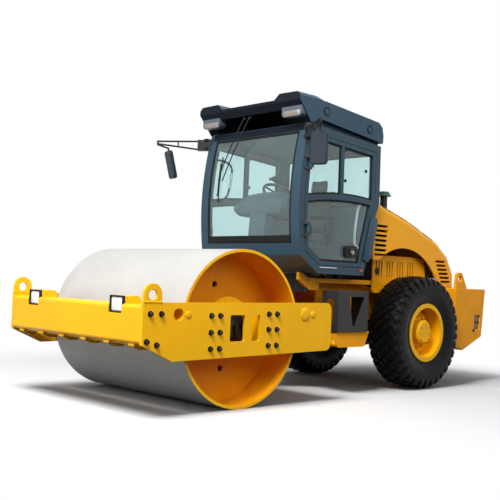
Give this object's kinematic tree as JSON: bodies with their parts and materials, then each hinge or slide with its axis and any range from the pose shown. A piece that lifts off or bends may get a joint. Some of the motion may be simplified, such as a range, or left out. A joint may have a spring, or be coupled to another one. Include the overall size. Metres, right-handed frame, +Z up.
{
  "type": "road roller",
  "caption": "Articulated single-drum road roller with a smooth steel drum in a plate frame, a closed glazed cab, a tilting rear engine hood and driven rear tyres",
  "frame": {"origin": "on the ground, under the middle of the machine's box", "axes": "+X forwards over the drum, +Y to the machine's left, +Z up"},
  "size_m": [5.86, 2.682, 3.2799],
  "materials": {
    "yellow_paint": "semi-gloss sprayed enamel",
    "hood_gelcoat": "semi-gloss painted glass-fibre moulding",
    "drum_steel": "rolled steel worn by use",
    "cab_paint": "satin dark blue-grey paint",
    "roof_moulding": "satin dark blue-grey moulding",
    "cab_glass": "tinted safety glass",
    "tyre_rubber": "matt black tyre rubber",
    "black_plastic": "grained black plastic",
    "dark_steel": "satin dark grey paint",
    "bare_rod": "hard chrome",
    "buffer_rubber": "moulded rubber",
    "lamp_lens": "clear lens over a bright reflector",
    "tail_lens": "red lens",
    "seat_vinyl": "black seat vinyl"
  },
  "bodies": {
    "front_frame": {"side_plates": "yellow_paint", "lifting_eyes": "yellow_paint", "front_beam": "yellow_paint", "front_lamps": "lamp_lens", "drum_scrapers": "dark_steel", "drum_carriers": "yellow_paint", "drum_hubs": "dark_steel", "rubber_buffers": "buffer_rubber", "rear_crossbeam": "yellow_paint"},
    "drum": {"drum_shell": "drum_steel", "drum_heads": "yellow_paint"},
    "hitch": {"hitch_block": "yellow_paint"},
    "steer_barrel_left": {"steer_barrel_left": "dark_steel"},
    "steer_rod_left": {"steer_rod_left": "bare_rod"},
    "steer_barrel_right": {"steer_barrel_right": "dark_steel"},
    "steer_rod_right": {"steer_rod_right": "bare_rod"},
    "rear_frame": {"rear_frame": "yellow_paint", "steer_pins": "bare_rod", "cab_mounts": "buffer_rubber", "side_tanks": "yellow_paint", "step_boxes": "dark_steel", "rear_axle": "dark_steel", "engine_block": "dark_steel", "radiator": "dark_steel", "counterweight": "yellow_paint", "rear_lugs": "yellow_paint", "tail_lamps": "tail_lens", "engine_screens": "yellow_paint", "hinge_pins": "dark_steel", "cab_floor": "cab_paint", "cab_side_frames": "cab_paint", "cab_front_frame": "cab_paint", "cab_rear_frame": "cab_paint", "cab_top_frame": "cab_paint", "windscreen": "cab_glass", "rear_window": "cab_glass", "cab_roof": "roof_moulding", "roof_lamps": "lamp_lens", "seat_base": "black_plastic", "seat": "seat_vinyl", "console": "black_plastic", "steering_wheel": "black_plastic", "mirror_arms": "dark_steel", "mirrors": "black_plastic"},
    "hood": {"hood": "hood_gelcoat", "intake_stack": "black_plastic"},
    "wheel_left": {"rim_left": "yellow_paint", "tyre_left": "tyre_rubber"},
    "wheel_right": {"rim_right": "yellow_paint", "tyre_right": "tyre_rubber"},
    "door_left": {"door_left": "cab_paint", "door_left_glass": "cab_glass", "door_left_latch": "black_plastic"},
    "door_right": {"door_right": "cab_paint", "door_right_glass": "cab_glass", "door_right_latch": "black_plastic"}
  },
  "joints": [
    {"name": "steer", "type": "hinge", "parent": "rear_frame", "child": "hitch", "pos_m": [0.17, 0, 0.72], "axis": [0, 0, 1], "range_deg": [-35, 35]},
    {"name": "oscillate", "type": "hinge", "parent": "hitch", "child": "front_frame", "pos_m": [0.69, 0, 0.72], "axis": [-1, 0, 0], "range_deg": [-10, 10]},
    {"name": "drum_spin", "type": "hinge", "parent": "front_frame", "child": "drum", "pos_m": [1.69, 0, 0.765], "axis": [0, 1, 0], "continuous": true},
    {"name": "wheel_left_spin", "type": "hinge", "parent": "rear_frame", "child": "wheel_left", "pos_m": [-1.43, 0.8425, 0.68], "axis": [0, 1, 0], "continuous": true},
    {"name": "wheel_right_spin", "type": "hinge", "parent": "rear_frame", "child": "wheel_right", "pos_m": [-1.43, -0.8425, 0.68], "axis": [0, 1, 0], "continuous": true},
    {"name": "door_left_swing", "type": "hinge", "parent": "rear_frame", "child": "door_left", "pos_m": [0.54, 0.822, 1.8], "axis": [0, 0, -1], "range_deg": [0, 85]},
    {"name": "door_right_swing", "type": "hinge", "parent": "rear_frame", "child": "door_right", "pos_m": [0.54, -0.822, 1.8], "axis": [0, 0, 1], "range_deg": [0, 85]},
    {"name": "hood_lift", "type": "hinge", "parent": "rear_frame", "child": "hood", "pos_m": [-2.572, 0, 1.275], "axis": [0, -1, 0], "range_deg": [0, 50]},
    {"name": "steer_barrel_left_swing", "type": "hinge", "parent": "rear_frame", "child": "steer_barrel_left", "pos_m": [-0.41, 0.2, 0.72], "axis": [0, 0, 1], "range_deg": [-3.99, 3.99]},
    {"name": "steer_rod_left_slide", "type": "slide", "parent": "steer_barrel_left", "child": "steer_rod_left", "axis": [0.9995, -0.0303, 0], "range_m": [-0.1084, 0.1084]},
    {"name": "steer_barrel_right_swing", "type": "hinge", "parent": "rear_frame", "child": "steer_barrel_right", "pos_m": [-0.41, -0.2, 0.72], "axis": [0, 0, 1], "range_deg": [-3.99, 3.99]},
    {"name": "steer_rod_right_slide", "type": "slide", "parent": "steer_barrel_right", "child": "steer_rod_right", "axis": [0.9995, 0.0303, 0], "range_m": [-0.1084, 0.1084]}
  ],
  "couplings": [
    {"joint": "steer_barrel_left_swing", "follows": "steer", "ratio": 0.09693},
    {"joint": "steer_rod_left_slide", "follows": "steer", "m_per_rad": -0.17425},
    {"joint": "steer_barrel_right_swing", "follows": "steer", "ratio": 0.09693},
    {"joint": "steer_rod_right_slide", "follows": "steer", "m_per_rad": 0.17425}
  ]
}
